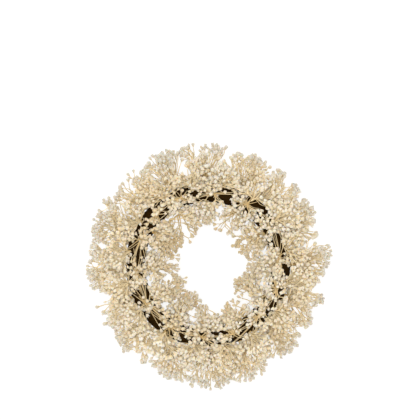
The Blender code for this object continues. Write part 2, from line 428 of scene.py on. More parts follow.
TWIGS = {
    "inner_bunch_02": (
        Twig(((66, 57, 36), (53.3, 47.9, 37)), ((46, 42, 38), (50, 38, 34), (58, 40, 36))),
        Twig(((60, 44, 33), (46, 33, 31)), ((34, 28.4, 32), (45.6, 25.6, 29), (54.8, 25.8, 30))),
    ),
    "inner_bunch_03": (
        Twig(((25.4, 72.8, 34), (34.6, 54, 33)), ((28.4, 45.4, 33), (39, 43.6, 32))),
    ),
    "inner_bunch_04": (
        Twig(((-16, 78, 33), (-15, 69, 34)), ((-19, 60, 34), (-10, 58, 33), (-14, 63, 38))),
    ),
    "inner_bunch_05": (
        Twig(((-56, 68, 36), (-30, 41.4, 33)), ((-20, 44.6, 34), (-25.6, 33, 30))),
        Twig(((-58, 69, 40), (-38, 64, 42)), ((-25, 69, 43), (-21, 62, 41), (-26, 57, 38))),
        Twig(((-57, 70, 44), (-40, 71, 48)), ((-24, 75, 49), (-18, 69, 47))),
    ),
    "inner_bunch_06": (
        Twig(((-64, 51, 32), (-56, 46, 32)), ((-46, 46, 33), (-45, 39, 32), (-50, 42, 36))),
    ),
    "inner_bunch_07": (
        Twig(((-72, 17, 32), (-55.2, 14.3, 34)), ((-41.6, 16, 35), (-42, 7.4, 32))),
        Twig(((-70, -1, 30), (-56, -3, 31)), ((-41.4, -5.6, 30), (-44, 1.6, 33))),
        Twig(((-84, 14, 28), (-80, 17, 30)), ((-74, 18, 32), (-78, 21, 30), (-84, 21, 32))),
        Twig(((-80, 12, 30), (-72, 15, 31)), ((-66, 17, 31), (-68, 21, 30), (-71, 16, 35))),
    ),
    "inner_bunch_08": (
        Twig(((-62, -30, 30), (-44, -22, 30)), ((-30.4, -17.4, 30), (-31.5, -26, 28))),
    ),
    "inner_bunch_09": (
        Twig(((-33, -66, 30), (-24, -50, 29)), ((-18.2, -38, 28), (-26, -38.5, 30), (-15, -45, 30))),
    ),
    "inner_bunch_10": (
        Twig(((10, -74, 34), (2, -67, 35)), ((-4.4, -61.4, 36),)),
        Twig(((-12, -82, 33), (-13, -73, 34)), ((-19, -64, 33), (-9, -61, 34), (-14, -66, 38))),
        Twig(((-2, -82, 30), (-5, -74, 30)), ((-13, -58, 28), (-4, -64, 32))),
    ),
    "inner_bunch_11": (
        Twig(((62, -56, 30), (52, -50, 28)), ((50.4, -41.4, 29), (43, -46, 28))),
        Twig(((56, -70, 32), (43, -61, 31)), ((34.4, -50.6, 31), (46.6, -53, 33), (36, -59, 30))),
        Twig(((44, -82, 30), (32, -69, 28)), ((24.6, -59, 28), (32, -59.4, 30), (18.8, -67.6, 27))),
    ),
    "inner_bunch_12": (
        Twig(((66, -28, 34), (48, -23, 34)), ((38, -20.6, 35), (39, -28, 32))),
        Twig(((66, -34, 28), (48, -36.6, 27)), ((38, -31.4, 28), (38.6, -43.4, 26))),
    ),
    "outer_high_bunch_02": (
        Twig(((112, 88, 44), (124, 100, 42)), ((139, 113, 40), (128, 109, 44))),
    ),
}


@dataclass(frozen=True)
class Tone:
    """Brightness and hue that buds share where they grow together.

    Args:
        tint: From 0, dull, to 1, bright.
        warmth: From 0, cream, to 1, tan.
    """

    tint: float
    warmth: float

    def varied(self, draw: random.Random, kept: float) -> Tone:
        """A tone that keeps this share of the tone and takes the rest by chance."""
        tint = kept * self.tint + (1 - kept) * draw.random()
        warmth = kept * self.warmth + (1 - kept) * draw.random()
        return Tone(tint, warmth)


@dataclass(frozen=True)
class Stage:
    """What a stem is like at one place of its way up.

    Args:
        thick: Its radius in metres.
        along: Share of the way from the foot to the buds, which its colour follows.
    """

    thick: float
    along: float


FOOT = Stage(0.0009, 0.0)
COLLAR = Stage(0.0009, 0.08)
KNOT = Stage(0.0008, 0.4)
BEND = Stage(0.0006, 0.6)
FORK = Stage(0.0007, 0.75)
SPLIT = Stage(0.0006, 0.9)
UNDER_BUD = Stage(0.0005, 1.0)
TWIG_STAGES = (Stage(0.0007, 0.5), Stage(0.0007, 0.7))


def mesh_of(bm: bmesh.types.BMesh, name: str) -> bpy.types.Mesh:
    """A mesh from bmesh data, which is used up."""
    mesh = bpy.data.meshes.new(name)
    bm.to_mesh(mesh)
    bm.free()
    return mesh


def in_scene(name: str, data: bpy.types.ID) -> bpy.types.Object:
    """A new object in the scene."""
    obj = bpy.data.objects.new(name, data)
    bpy.context.scene.collection.objects.link(obj)
    return obj


@dataclass
class Skeleton:
    """The stems of one spray as edges, with a mark on each point that carries a bud."""

    points: list[Vector] = field(default_factory=list)
    edges: list[tuple[int, int]] = field(default_factory=list)
    floats: dict[str, list[float]] = field(default_factory=lambda: defaultdict(list))
    axes: list[Vector] = field(default_factory=list)
    kinds: list[int] = field(default_factory=list)

    def add(self, place: Vector, stage: Stage, shade: float) -> int:
        """Adds a stem point.

        Args:
            place: Where it is.
            stage: What the stem is like there.
            shade: The stem's tint.

        Returns:
            The point's index.
        """
        self.points.append(place)
        self.axes.append(Vector((0, 0, 1)))
        self.kinds.append(-1)
        for name, value in (("thick", stage.thick), ("stem_along", stage.along), ("stem_tint", shade)):
            self.floats[name].append(value)
        for name in ("size", "tint", "warmth"):
            self.floats[name].append(0.0)
        return len(self.points) - 1

    def stem(self, start: int, path: list[Vector], stage: Stage) -> int:
        """Adds a stem that leaves a point.

        Args:
            start: Index of the point.
            path: Places that the stem runs through.
            stage: What it is like at its end.

        Returns:
            The index of its last point.
        """
        first = Stage(min(self.floats["thick"][start], stage.thick * 1.5), self.floats["stem_along"][start])
        shade = self.floats["stem_tint"][start]
        last = start
        for step, place in enumerate(path):
            share = (step + 1) / len(path)
            thick = first.thick + share * (stage.thick - first.thick)
            along = first.along + share * (stage.along - first.along)
            new = self.add(place, Stage(thick, along), shade)
            self.edges.append((last, new))
            last = new
        return last

    def bud(self, point: int, axis: Vector, size: float, kind: BudKind, tone: Tone) -> None:
        """Marks a point that carries a bud.

        Args:
            point: Index of the point.
            axis: Direction that the bud points in.
            size: Its size, where 1 is usual.
            kind: Its stage.
            tone: Its brightness and hue.
        """
        self.axes[point] = axis
        self.kinds[point] = kind.value
        self.floats["size"][point] = size
        self.floats["tint"][point] = tone.tint
        self.floats["warmth"][point] = tone.warmth

    def as_object(self, name: str) -> bpy.types.Object:
        """The skeleton as an object of edges with its values as attributes."""
        mesh = bpy.data.meshes.new(name)
        mesh.from_pydata([tuple(place) for place in self.points], self.edges, [])
        for key, values in self.floats.items():
            mesh.attributes.new(key, "FLOAT", "POINT").data.foreach_set("value", values)
        mesh.attributes.new("kind", "INT", "POINT").data.foreach_set("value", self.kinds)
        flat = [part for axis in self.axes for part in axis]
        mesh.attributes.new("axis", "FLOAT_VECTOR", "POINT").data.foreach_set("vector", flat)
        return in_scene(name, mesh)


def bent(start: Vector, end: Vector, leaving: Vector, steps: int) -> list[Vector]:
    """A stem's path, which leaves its start in one direction and bends to its end.

    Args:
        start: Where it starts.
        end: Where it ends.
        leaving: Unit direction that it leaves in.
        steps: Number of places after the start.

    Returns:
        The places, ending with the end.
    """
    turn = start + leaving * (0.45 * (end - start).length)
    path = []
    for step in range(1, steps + 1):
        share = step / steps
        path.append(start.lerp(turn, share).lerp(turn.lerp(end, share), share))
    return path


@dataclass(frozen=True)
class Stand:
    """Where one bud stands.

    Args:
        tip: Its tip.
        aim: Unit direction that it points in.
    """

    tip: Vector
    aim: Vector

    @property
    def middle(self) -> Vector:
        """The bud's middle."""
        return self.tip - self.aim * BUD_LENGTH * TIP_TO_MIDDLE


@dataclass
class Spray:
    """One spray while it grows.

    Args:
        cell: The cell that it fills.
        tone: Brightness and hue that its buds share.
        skeleton: Its stems and buds so far.
    """

    cell: Cell
    tone: Tone
    skeleton: Skeleton = field(default_factory=Skeleton)

    @property
    def foot(self) -> Vector:
        """Where its stems leave the ring."""
        return tube_point(self.cell.turn, self.cell.lean, TUBE_RADIUS)

    def across(self, place: Vector) -> float:
        """How far a place lies to one side of the foot."""
        return place.y * math.cos(self.cell.turn) - place.x * math.sin(self.cell.turn)

    def turned_from(self, turn: float) -> float:
        """The angle between the foot's turn and another, in radians."""
        return abs((self.cell.turn - turn + math.pi) % (2 * math.pi) - math.pi)


@dataclass
class Sprayer:
    """Grows the sprays one after another. A bud placed by chance keeps a least gap from those before it.

    Args:
        draw: Source of all chance in the growth.
        buds: The buds' middles so far.
        heads: The heads' tops so far.
        plan: The buds' middles so far, seen from above.
        crowding: Least gap between two buds' middles, as a share of the usual one. Wide buds may overlap.
        sizes: Smallest and largest size of a bud, where 1 is usual.
        on_stem: Numbers of heads that a stem carries, each as often as it is found.
        on_split: Numbers of buds where a head's stalk splits, in the same way.
        knot_at: Where a stem forks to its heads, from and to, in shares of its length.
        split_at: Where a head's stalk splits, from and to, in shares of the head's length.
        bud_angles: Least and greatest angle between a bud and its stalk, in degrees.
        bud_reach: Least and greatest length of a bud's last stalk, as a share of the usual one.
        head_likeness: How much of a spray's tone its heads keep.
        bud_likeness: How much of a head's tone its buds keep.
        kind_weights: How common the stages of a bud are, in their order.
        head_tries: Places tried for a head, of which the one with most room is kept.
        head_bias: How strongly the heads crowd towards the cell's reach, where 1 is not at all.
        single_bias: The same for buds on long stalks of their own.
        single_slant: Greatest angle between such a bud and the line from its foot, in degrees.
        bud_tries: Places tried for a bud.
        bud_room: How much of a bud, to each side of its middle, keeps out of a clearing, in metres.
        stalk_room: The same for a bud on a long stalk of its own.
        wall_slack: How far a bud may stand over a wall of its cell, in metres.
        reach_slack: How far it may stand beyond the cell's reach.
        lowest_bud: Least height of a bud's middle over the floor.
        highest_tip: Greatest height of a bud's tip over the floor.
        bundle: Radius of the bundle of stems at the foot.
        cover_step: Metres between the places over the ring that are looked at for cover.
        cover_band: How far the cover goes inwards and outwards from the ring's middle line.
        cover_gap: How far from every bud a bare place is, as a share of the usual gap from above.
        cover_heights: Least and greatest height of a covering bud over the ring's middle line.
        bare_share: Share of the bare places that stay bare.
        stray_share: Share of the places in a clearing that are covered all the same.
        crossing: Bare stalks that cross a large dark patch.
        large_patch: Least radius of such a patch, in millimetres.
        past_patch: How far past the patch a crossing stalk's bud stands, from and to, in metres.
        crossing_heights: Least and greatest height of that bud's tip over the ring's middle line.
        outer_edge: Distance from the middle past which buds are painted duller and greyer, as painted shade.
        inner_edge: Distance from the middle within which they are painted duller and browner, as painted
            shade.
        painted_light_over_ring: How much brighter they are painted right over the ring, as painted light.
    """

    draw: random.Random
    buds: Crowd = field(default_factory=lambda: Crowd(0.0057))
    heads: Crowd = field(default_factory=lambda: Crowd(0.024))
    plan: Crowd = field(default_factory=lambda: Crowd(0.0052))
    crowding: float = 0.74
    sizes: tuple[float, float] = (0.86, 1.17)
    on_stem: tuple[int, ...] = (1, 1, 2)
    on_split: tuple[int, ...] = (2, 3, 3)
    knot_at: tuple[float, float] = (0.38, 0.62)
    split_at: tuple[float, float] = (0.30, 0.52)
    bud_angles: tuple[float, float] = (10, 52)
    bud_reach: tuple[float, float] = (0.85, 1.2)
    head_likeness: float = 0.4
    bud_likeness: float = 0.72
    kind_weights: tuple[int, ...] = (5, 3, 3, 3)
    head_tries: int = 24
    head_bias: float = 1.4
    single_bias: float = 1.8
    single_slant: float = 50.0
    bud_tries: int = 7
    bud_room: float = 0.0024
    stalk_room: float = 0.0015
    wall_slack: float = 0.008
    reach_slack: float = 0.006
    lowest_bud: float = 0.0045
    highest_tip: float = 0.0750
    bundle: float = 0.0026
    cover_step: float = 0.0058
    cover_band: tuple[float, float] = (-0.026, 0.022)
    cover_gap: float = 0.86
    cover_heights: tuple[float, float] = (0.022, 0.040)
    bare_share: float = 0.15
    stray_share: float = 0.12
    crossing: int = 2
    large_patch: float = 6.0
    past_patch: tuple[float, float] = (0.004, 0.008)
    crossing_heights: tuple[float, float] = (0.016, 0.030)
    outer_edge: float = 0.160
    inner_edge: float = 0.082
    painted_light_over_ring: float = 0.4

    def spread(self, axis: Vector, angle: float) -> Vector:
        """A unit direction at a given angle from an axis, turned about it by chance."""
        side = axis.orthogonal().normalized()
        turned = self.draw.uniform(0, 2 * math.pi)
        across = side * math.cos(turned) + axis.cross(side) * math.sin(turned)
        return (axis * math.cos(angle) + across * math.sin(angle)).normalized()

    def any_tone(self) -> Tone:
        """A tone by chance."""
        return Tone(self.draw.random(), self.draw.random())

    def head_tops(self, cell: Cell) -> list[Vector]:
        """Where the heads of a spray have their tops, each as far from the others as chance allows."""
        tops = []
        for _ in range(cell.habit.heads):
            best = None
            best_gap = 0.0
            for _ in range(self.head_tries):
                height = 1 - (1 - cell.habit.lowest) * self.draw.random() ** self.head_bias
                side = self.draw.uniform(-1, 1)
                rise = self.draw.uniform(-1, 1)
                place = cell.point(side, rise, height, 0.0015)
                if any(spot.covers(place, 0.001) for spot in CLEARINGS):
                    continue
                gap = self.heads.nearest(place)
                if gap > best_gap:
                    best, best_gap = place, gap
            if best is not None:
                self.heads.add(best)
                tops.append(best)
        return tops

    def take(self, middle: Vector) -> None:
        """Notes the middle of a new bud."""
        self.buds.add(middle)
        self.plan.add(Vector((middle.x, middle.y, 0.0)))

    def is_free(self, tip: Vector, middle: Vector, room: float) -> bool:
        """Whether a bud stands between the floor and the greatest height, and in no clearing.

        Args:
            tip: The bud's tip.
            middle: Its middle.
            room: Metres of the bud to each side of its middle that count.

        Returns:
            True if it does.
        """
        if middle.z < self.lowest_bud or tip.z > self.highest_tip:
            return False
        return not any(spot.covers(middle, room) for spot in CLEARINGS)

    def bud_stand(self, cell: Cell, split: Vector, axis: Vector, length: float) -> Stand | None:
        """A place for a bud, on a stalk that forks.

        Args:
            cell: The spray's cell.
            split: Where the stalk forks.
            axis: The stalk's direction there.
            length: Metres from the fork to the bud's tip.

        Returns:
            The place, or None where there is no room.
        """
        best = None
        best_gap = self.crowding * self.buds.gap
        for _ in range(self.bud_tries):
            aim = self.spread(axis, math.radians(self.draw.uniform(*self.bud_angles)))
            stand = Stand(split + aim * length * self.draw.uniform(*self.bud_reach), aim)
            over_wall, beyond = cell.overrun(stand.tip)
            if over_wall > self.wall_slack or beyond > self.reach_slack:
                continue
            if not self.is_free(stand.tip, stand.middle, self.bud_room):
                continue
            gap = self.buds.nearest(stand.middle)
            if gap > best_gap:
                best, best_gap = stand, gap
            if gap >= self.buds.gap:
                break
        return best

    def grow(self, cell: Cell) -> Spray:
        """Grows the spray that fills a cell."""
        spray = Spray(cell, self.any_tone())
        foot = spray.foot
        for twig in TWIGS.get(cell.name, ()):
            self.loose_twig(spray, twig)
        heads = []
        for top in self.head_tops(cell):
            length = min(cell.habit.fork * self.draw.uniform(0.8, 1.1), 0.6 * (top - foot).length)
            aim = top - foot
            aim.z *= cell.habit.droop
            heads.append((top - aim.normalized() * length, top))
        for _ in range(cell.habit.singles):
            self.single(spray)
        heads.sort(key=lambda head: math.atan2(head[0].z - foot.z, spray.across(head[0])))
        while heads:
            count = self.draw.choice(self.on_stem)
            self.limb(spray, heads[:count])
            heads = heads[count:]
        return spray

    def neck(self, spray: Spray) -> int:
        """Starts a stem in the bundle at a spray's foot.

        Args:
            spray: The spray.

        Returns:
            The index of the stem's last point.
        """
        axis = spray.cell.axis
        offset = self.spread(axis, math.pi / 2) * self.bundle * math.sqrt(self.draw.random())
        start = spray.skeleton.add(spray.foot + offset - axis * 0.004, FOOT, self.draw.random())
        return spray.skeleton.stem(start, [spray.foot + offset * 0.7 + axis * 0.003], COLLAR)

    def limb(self, spray: Spray, heads: list[tuple[Vector, Vector]]) -> None:
        """Grows one stem from the foot, with the heads that it carries.

        Args:
            spray: The spray.
            heads: The fork and the top of each head on the stem.
        """
        skeleton = spray.skeleton
        neck = self.neck(spray)
        collar = skeleton.points[neck]
        middle = sum((fork for fork, _ in heads), Vector()) / len(heads)
        knot_place = collar.lerp(middle, self.draw.uniform(*self.knot_at))
        knot = skeleton.stem(neck, bent(collar, knot_place, spray.cell.axis, 3), KNOT)
        leaving = (knot_place - collar).normalized()
        for fork, top in heads:
            end = skeleton.stem(knot, bent(knot_place, fork, leaving, 3), FORK)
            self.head(spray, end, top, spray.tone.varied(self.draw, self.head_likeness))

    def head(self, spray: Spray, end: int, top: Vector, tone: Tone) -> None:
        """Grows a head of buds on a stem's end.

        Args:
            spray: The spray.
            end: Index of the stem's last point.
            top: The head's top.
            tone: Brightness and hue that the head's buds share.
        """
        fork = spray.skeleton.points[end]
        axis = (top - fork).normalized()
        length = (top - fork).length
        cone = math.radians(spray.cell.habit.cone)
        for _ in range(spray.cell.habit.stalks):
            direction = self.spread(axis, cone * math.sqrt(self.draw.random()))
            split_place = fork + direction * length * self.draw.uniform(*self.split_at)
            stands = []
            for _ in range(self.draw.choice(self.on_split)):
                stand = self.bud_stand(spray.cell, split_place, direction, 0.6 * length + 0.003)
                if stand is not None:
                    self.take(stand.middle)
                    stands.append(stand)
            if not stands:
                continue
            split = spray.skeleton.stem(end, bent(fork, split_place, axis, 2), SPLIT)
            for stand in stands:
                self.tipped(spray, split, direction, stand, tone)

    def tipped(self, spray: Spray, split: int, leaving: Vector, stand: Stand, tone: Tone) -> None:
        """Grows the last short stalk with its bud.

        Args:
            spray: The spray.
            split: Index of the point that the stalk leaves.
            leaving: Direction that it leaves in.
            stand: Where the bud stands.
            tone: Brightness and hue of the buds round it.
        """
        size = self.draw.uniform(*self.sizes)
        base = stand.tip - stand.aim * BUD_LENGTH * size
        start = spray.skeleton.points[split]
        point = spray.skeleton.stem(split, bent(start, base, leaving, 2), UNDER_BUD)
        kind = self.draw.choices(list(BudKind), weights=self.kind_weights)[0]
        axis = (stand.aim * 2 + (base - start).normalized()).normalized()
        tone = tone.varied(self.draw, self.bud_likeness)
        # The bud's tone takes painted shade at the wreath's edges and painted light over the ring.
        spray.skeleton.bud(point, axis, size, kind, self.painted_shade_and_light(stand.tip, tone))

    def painted_shade_and_light(self, tip: Vector, tone: Tone) -> Tone:
        """A bud's tone with painted shade, duller towards the wreath's outer and inner edges, and painted
        light over the ring.
        """
        out = math.hypot(tip.x, tip.y)
        outer = min(1.0, max(0.0, (out - self.outer_edge) / 0.016))
        inner = min(1.0, max(0.0, (self.inner_edge - out) / 0.020))
        over_ring = max(0.0, 1 - abs(out - RING_RADIUS) / (1.2 * TUBE_RADIUS))
        kept = 1 - 0.5 * max(outer, inner)
        # Painted shade dulls buds past the outer edge and within the inner edge; painted light brightens
        # those over the ring.
        tint = tone.tint * kept - 0.9 * outer - 0.6 * inner + self.painted_light_over_ring * over_ring
        return Tone(tint, tone.warmth * (1 - 0.6 * outer) + 0.3 * inner)

    def single(self, spray: Spray) -> None:
        """Grows one bud on a long bare stalk from the foot, where there is room for it."""
        best = None
        best_gap = self.crowding * self.buds.gap
        habit = spray.cell.habit
        foot = spray.foot
        for _ in range(2 * self.bud_tries):
            height = habit.lowest + (0.95 - habit.lowest) * self.draw.random() ** self.single_bias
            side = self.draw.uniform(-habit.stray, habit.stray)
            tip = spray.cell.point(side, self.draw.uniform(-1, 1), height, 0.003)
            slant = math.radians(self.draw.uniform(0, self.single_slant))
            stand = Stand(tip, self.spread((tip - foot).normalized(), slant))
            if not self.is_free(tip, stand.middle, self.stalk_room):
                continue
            gap = self.buds.nearest(stand.middle)
            if gap > best_gap:
                best, best_gap = stand, gap
        if best is not None:
            self.take(best.middle)
            self.long_stalk(spray, best, spray.tone)

    def long_stalk(self, spray: Spray, stand: Stand, tone: Tone) -> None:
        """Grows the bare stalk of a single bud, with the bud.

        Args:
            spray: The spray.
            stand: Where the bud stands.
            tone: Brightness and hue of the buds round it.
        """
        neck = self.neck(spray)
        collar = spray.skeleton.points[neck]
        base = stand.tip - stand.aim * BUD_LENGTH * 0.9
        bend = collar.lerp(base, 0.55) + self.spread(stand.aim, math.pi / 2) * self.draw.uniform(0, 0.004)
        last = spray.skeleton.stem(neck, bent(collar, bend, spray.cell.axis, 3), BEND)
        self.tipped(spray, last, (bend - collar).normalized(), stand, tone)

    def loose_twig(self, spray: Spray, twig: Twig) -> None:
        """Grows a twig where the photograph shows it."""
        last = self.neck(spray)
        leaving = spray.cell.axis
        for place, stage in zip(twig.places, TWIG_STAGES, strict=True):
            end = Vector(place) / 1000
            start = spray.skeleton.points[last]
            last = spray.skeleton.stem(last, bent(start, end, leaving, 4), stage)
            leaving = (end - start).normalized()
        fork = spray.skeleton.points[last]
        for place in twig.tips:
            tip = Vector(place) / 1000
            stand = Stand(tip, (tip - fork).normalized())
            self.take(stand.middle)
            self.tipped(spray, last, leaving, stand, spray.tone)

    def cover_ring(self, sprays: list[Spray]) -> None:
        """Puts single buds over the ring wherever it is bare and the photograph shows it covered.

        Args:
            sprays: The sprays over the ring, which the buds are added to.
        """
        inwards, outwards = self.cover_band
        rows = round((outwards - inwards) / self.cover_step) + 1
        places = round(2 * math.pi * RING_RADIUS / self.cover_step)
        for row in range(rows):
            for index in range(places):
                turn = 2 * math.pi * (index + 0.5 * (row % 2) + self.draw.uniform(-0.2, 0.2)) / places
                out = RING_RADIUS + inwards + self.cover_step * (row + self.draw.uniform(-0.2, 0.2))
                self.cover(turn, out, sprays)

    def cover(self, turn: float, out: float, sprays: list[Spray]) -> None:
        """Covers one place over the ring, unless it is covered or shall show.

        Args:
            turn: Its turn in radians.
            out: Its distance from the middle.
            sprays: The sprays over the ring.
        """
        middle = Vector((out * math.cos(turn), out * math.sin(turn), 0.0))
        near = self.plan.nearest(middle) < self.cover_gap * self.plan.gap
        if near or self.draw.random() < self.bare_share:
            return
        middle.z = CENTRE_HEIGHT + self.draw.uniform(*self.cover_heights)
        shows = not self.is_free(middle, middle, self.bud_room) and self.draw.random() > self.stray_share
        if shows or self.buds.nearest(middle) < self.crowding * self.buds.gap:
            return
        spray = min(sprays, key=lambda each: each.turned_from(turn))
        upright = ((middle - spray.foot).normalized() + Vector((0, 0, 1.2))).normalized()
        aim = self.spread(upright, 0.3)
        self.take(middle)
        self.long_stalk(spray, Stand(middle + aim * BUD_LENGTH * TIP_TO_MIDDLE, aim), self.any_tone())

    def lace(self, sprays: list[Spray]) -> None:
        """Lets a few bare stalks cross each of the larger dark patches.

        Args:
            sprays: The sprays over the ring, which the stalks are added to.
        """
        for patch in DARK_PATCHES:
            if patch.radius < self.large_patch:
                continue
            middle = Vector((patch.x, patch.y, 0.0)) / 1000
            turn = math.atan2(middle.y, middle.x)
            near = sorted(sprays, key=lambda each: each.turned_from(turn))
            spray = self.draw.choice(near[:2])
            ahead = Vector((middle.x - spray.foot.x, middle.y - spray.foot.y, 0.0)).normalized()
            aside = Vector((-ahead.y, ahead.x, 0.0))
            for _ in range(self.crossing):
                tip = middle + ahead * (patch.radius / 1000 + self.draw.uniform(*self.past_patch))
                tip += aside * self.draw.uniform(-1, 1) * patch.radius / 1000
                tip.z = CENTRE_HEIGHT + self.draw.uniform(*self.crossing_heights)
                aim = (ahead + Vector((0, 0, 1.0)) + aside * self.draw.uniform(-0.4, 0.4)).normalized()
                tone = self.any_tone()
                if self.buds.nearest(tip) > 0.6 * self.buds.gap:
                    stand = Stand(tip, aim)
                    self.take(stand.middle)
                    self.long_stalk(spray, stand, tone)


@dataclass(frozen=True)
class BudShape:
    """A dried bud: a narrow cup below closed petals with a lobed top.

    Args:
        kind: Its stage.
        profile: Shares of the length and of the half width, from over the stalk to just under the tip.
        half_width: Metres.
        length: Metres.
        lobes: How far the creases between the petals lie in, as a share of the half width.
        tip: Height of the middle of the top, as a share of the length.
        ragged: How uneven the petals are, as a share of the half width.
        sides: Two for each petal.
    """

    kind: BudKind
    profile: tuple[tuple[float, float], ...]
    half_width: float
    length: float
    lobes: float
    tip: float
    ragged: float
    sides: int = 10

    def make(self) -> bpy.types.Object:
        """The bud as an object that stands on the origin and points up."""
        draw = random.Random(self.kind.value)
        bm = bmesh.new()
        along = bm.verts.layers.float.new("bud_along")
        foot = bm.verts.new((0, 0, 0))
        uneven = [draw.uniform(-self.ragged, self.ragged) for _ in range(self.sides)]
        rings = []
        for height, width in self.profile:
            ring = []
            for index in range(self.sides):
                angle = 2 * math.pi * (index + draw.uniform(-0.6, 0.6) * self.ragged) / self.sides
                crease = self.lobes * max(0.0, height - 0.45) * (index % 2)
                radius = self.half_width * (width - crease + uneven[index] * height)
                level = self.length * (height - 0.25 * crease + 0.5 * uneven[index] * height)
                vert = bm.verts.new((radius * math.cos(angle), radius * math.sin(angle), level))
                vert[along] = height
                ring.append(vert)
            rings.append(ring)
        top = bm.verts.new((0, 0, self.length * self.tip))
        top[along] = 0.93
        for index in range(self.sides):
            after = (index + 1) % self.sides
            bm.faces.new((foot, rings[0][after], rings[0][index]))
            for lower, upper in zip(rings, rings[1:]):
                bm.faces.new((lower[index], lower[after], upper[after], upper[index]))
            bm.faces.new((rings[-1][index], rings[-1][after], top))
        mesh = mesh_of(bm, f"bud_{self.kind.name.lower()}")
        for face in mesh.polygons:
            face.use_smooth = True
        return bpy.data.objects.new(f"{self.kind.value}_{mesh.name}", mesh)


BUD_SHAPES = (
    BudShape(
        kind=BudKind.ROUND,
        profile=((0.30, 0.40), (0.64, 1.0), (0.92, 0.68)),
        half_width=0.0027,
        length=0.0080,
        lobes=0.60,
        tip=0.96,
        ragged=0.08,
    ),
    BudShape(
        kind=BudKind.SLIM,
        profile=((0.30, 0.44), (0.64, 1.0), (0.93, 0.56)),
        half_width=0.0021,
        length=0.0080,
        lobes=0.50,
        tip=0.99,
        ragged=0.10,
    ),
    BudShape(
        kind=BudKind.OPEN,
        profile=((0.32, 0.36), (0.68, 0.90), (0.97, 0.96)),
        half_width=0.0031,
        length=0.0076,
        lobes=0.85,
        tip=0.80,
        ragged=0.14,
    ),
    BudShape(
        kind=BudKind.TORN,
        profile=((0.32, 0.34), (0.62, 0.88), (0.94, 0.80)),
        half_width=0.0029,
        length=0.0082,
        lobes=0.80,
        tip=0.90,
        ragged=0.26,
    ),
)


class Wire:
    """An output socket that can stand in a sum.

    Args:
        wiring: The tree that the sum's nodes are added to.
        socket: The output socket.
    """

    def __init__(self, wiring: Wiring, socket: bpy.types.NodeSocket) -> None:
        """Wraps the socket."""
        self.wiring = wiring
        self.socket = socket

    def _math(self, operation: str, first: Wire | float, second: Wire | float) -> Wire:
        """A Math node on two values."""
        node = self.wiring.add("ShaderNodeMath", {"operation": operation}, {0: first, 1: second})
        return Wire(self.wiring, node.outputs[0])

    def __add__(self, other: Wire | float) -> Wire:
        """The sum."""
        return self._math("ADD", self, other)

    def __radd__(self, other: float) -> Wire:
        """The sum, the other way round."""
        return self._math("ADD", other, self)

    def __sub__(self, other: Wire | float) -> Wire:
        """The difference."""
        return self._math("SUBTRACT", self, other)

    def __rsub__(self, other: float) -> Wire:
        """The difference, the other way round."""
        return self._math("SUBTRACT", other, self)

    def __mul__(self, other: Wire | float) -> Wire:
        """The product."""
        return self._math("MULTIPLY", self, other)

    def __rmul__(self, other: float) -> Wire:
        """The product, the other way round."""
        return self._math("MULTIPLY", other, self)

    def __pow__(self, other: float) -> Wire:
        """The power."""
        return self._math("POWER", self, other)


@dataclass
class Wiring:
    """A node tree that is filled with one method.

    Args:
        tree: The tree.
    """

    tree: bpy.types.NodeTree

    def add(
        self,
        kind: str,
        settings: dict[str, object] | None = None,
        feeds: dict[str | int, object] | None = None,
    ) -> bpy.types.Node:
        """Adds a node.

        Args:
            kind: The node's type.
            settings: Its settings, which are set first.
            feeds: For sockets by name or number, a value, a socket or a Wire.

        Returns:
            The node.
        """
        node = self.tree.nodes.new(kind)
        for name, value in (settings or {}).items():
            setattr(node, name, value)
        self.feed(node, feeds or {})
        return node

    def feed(self, node: bpy.types.Node, feeds: dict[str | int, object]) -> None:
        """Gives a node's sockets their values.

        Args:
            node: The node.
            feeds: For sockets by name or number, a value, a socket or a Wire.
        """
        for name, value in feeds.items():
            source = value.socket if isinstance(value, Wire) else value
            if isinstance(source, bpy.types.NodeSocket):
                self.tree.links.new(source, node.inputs[name])
            else:
                node.inputs[name].default_value = source

    def wire(self, kind: str, settings: dict | None, feeds: dict | None, output: str | int = 0) -> Wire:
        """Adds a node and wraps one of its outputs."""
        return Wire(self, self.add(kind, settings, feeds).outputs[output])

    def attribute(self, name: str) -> Wire:
        """A number that the mesh carries."""
        return self.wire("ShaderNodeAttribute", {"attribute_name": name}, None, "Fac")

    def noise(self, scale: float, detail: float) -> Wire:
        """A cloudy value that is fixed to the piece."""
        place = self.add("ShaderNodeTexCoord").outputs["Object"]
        return self.wire("ShaderNodeTexNoise", None, {"Vector": place, "Scale": scale, "Detail": detail})

    def bumps(self, height: Wire, strength: float, distance: float) -> bpy.types.NodeSocket:
        """A surface that a value raises."""
        feeds = {"Strength": strength, "Distance": distance, "Height": height}
        return self.add("ShaderNodeBump", None, feeds).outputs["Normal"]

    def blend(self, share: Wire | float, first: object, second: object) -> Wire:
        """A colour between two colours.

        Args:
            share: 0 for the first, 1 for the second.
            first: A colour or a Wire.
            second: A colour or a Wire.

        Returns:
            The colour.
        """
        return self.wire("ShaderNodeMix", {"data_type": "RGBA"}, {"Factor": share, 6: first, 7: second}, 2)

    def brighter(self, colour: Wire, factor: Wire | float) -> Wire:
        """A colour times a number."""
        return self.wire("ShaderNodeVectorMath", {"operation": "SCALE"}, {0: colour, "Scale": factor})


Colour = tuple[float, float, float, float]


def new_material(name: str) -> tuple[bpy.types.Material, Wiring, bpy.types.Node]:
    """An empty material.

    Args:
        name: Its name.

    Returns:
        The material, its wiring and its Principled shader.
    """
    material = bpy.data.materials.new(name)
    material.use_nodes = True
    return material, Wiring(material.node_tree), material.node_tree.nodes["Principled BSDF"]


